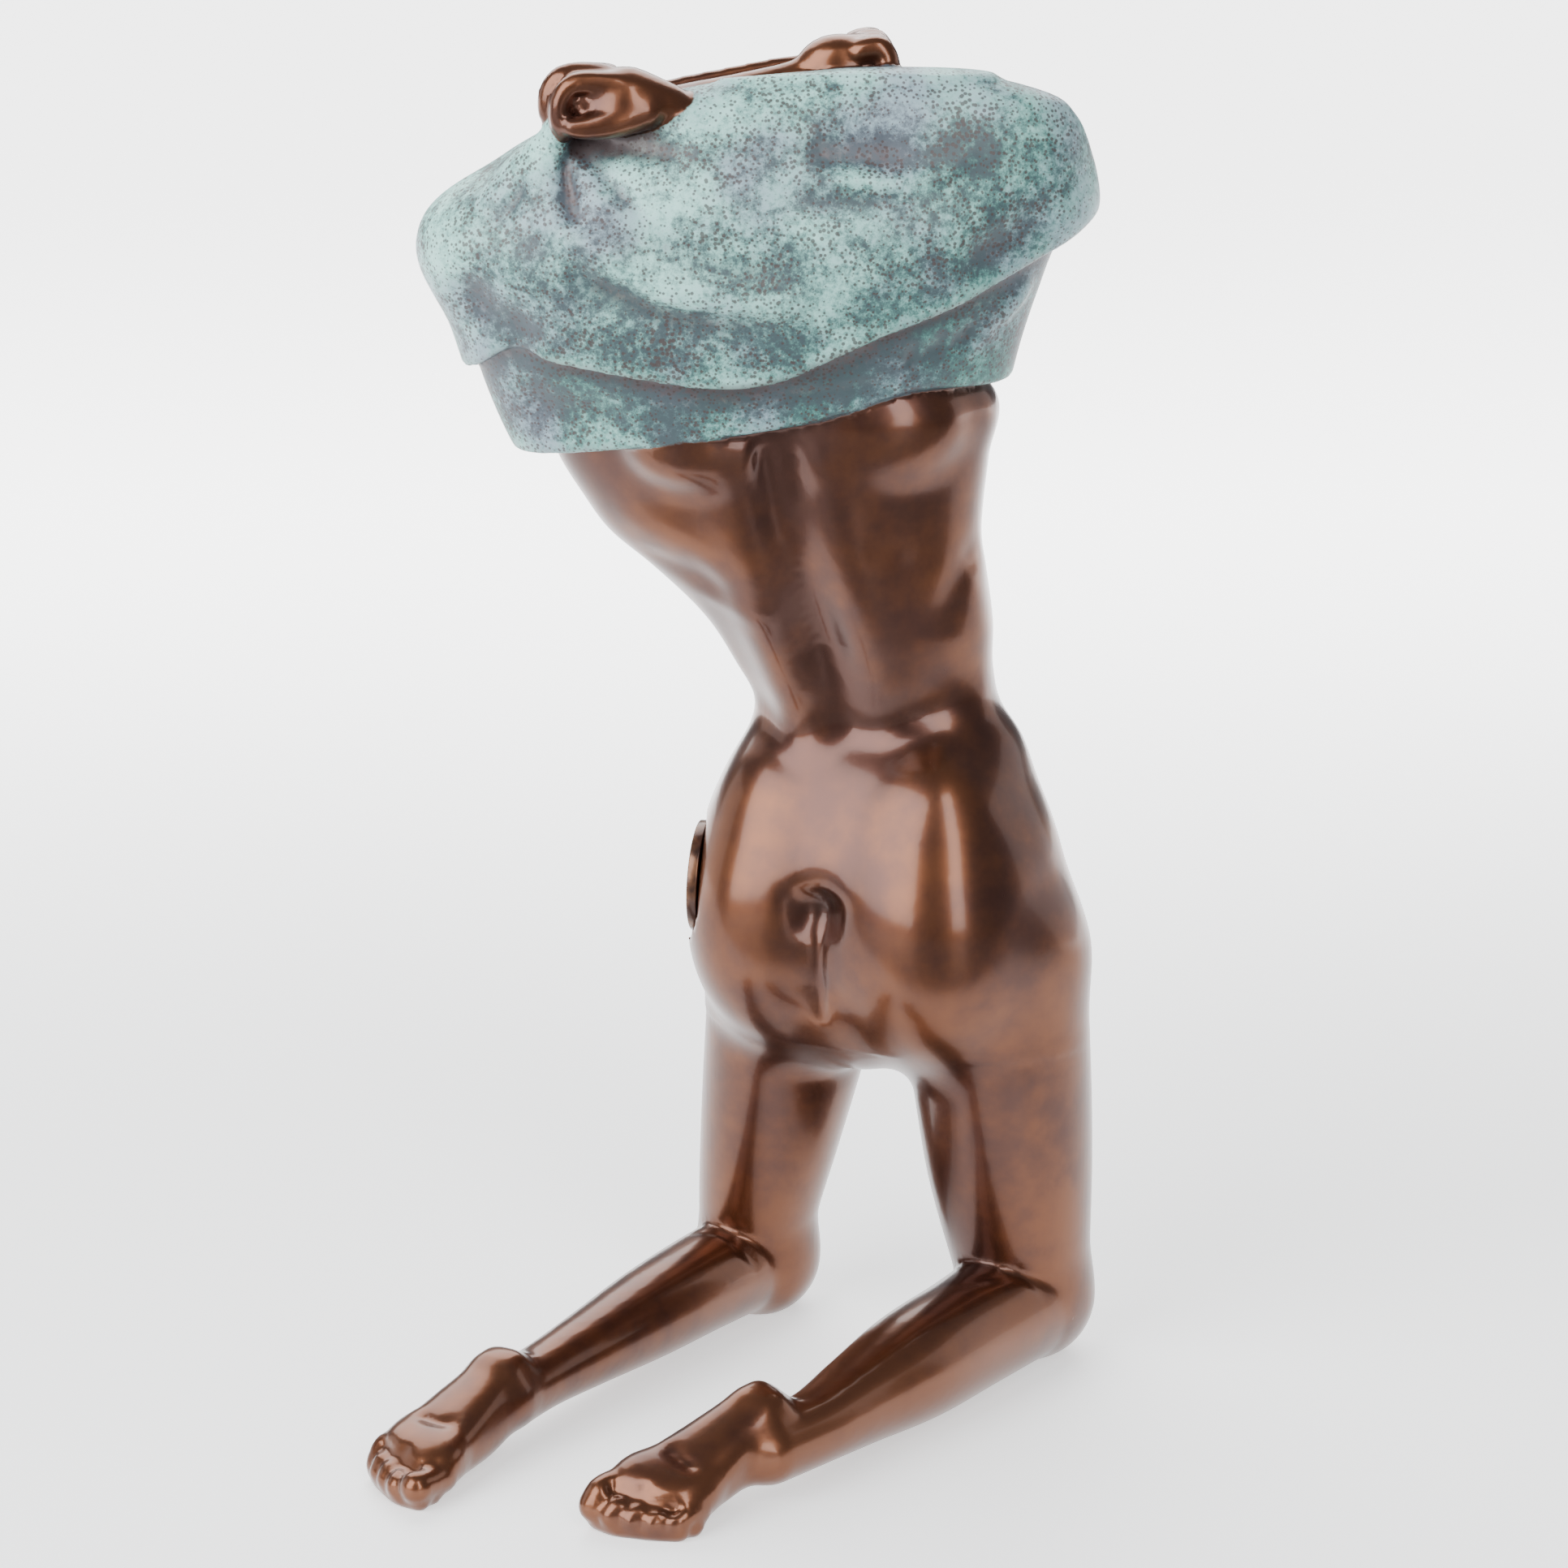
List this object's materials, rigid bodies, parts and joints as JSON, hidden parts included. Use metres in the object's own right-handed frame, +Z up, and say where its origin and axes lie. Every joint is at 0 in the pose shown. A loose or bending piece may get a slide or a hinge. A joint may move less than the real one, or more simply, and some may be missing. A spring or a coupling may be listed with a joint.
{
  "type": "female nude statue",
  "caption": "Cast bronze statue of a woman kneeling upright, drawing her shirt over her head and arms, on knees and toes.",
  "frame": {"origin": "middle of the bounding box in plan, at the plane that the knees and toes rest on", "axes": "+Z up, +X to the figure's right, +Y the way the figure faces, away from the picture's camera"},
  "size_m": [0.1684, 0.158, 0.3171],
  "materials": {
    "figure_bronze": "brown lacquered bronze on the body and arms, mottled green and grey-blue patina on the shirt",
    "seal_bronze": "dark brown bronze, satin, blank"
  },
  "bodies": {
    "root": {"kneeling_figure": "figure_bronze", "foundry_seal": "seal_bronze"}
  },
  "joints": []
}
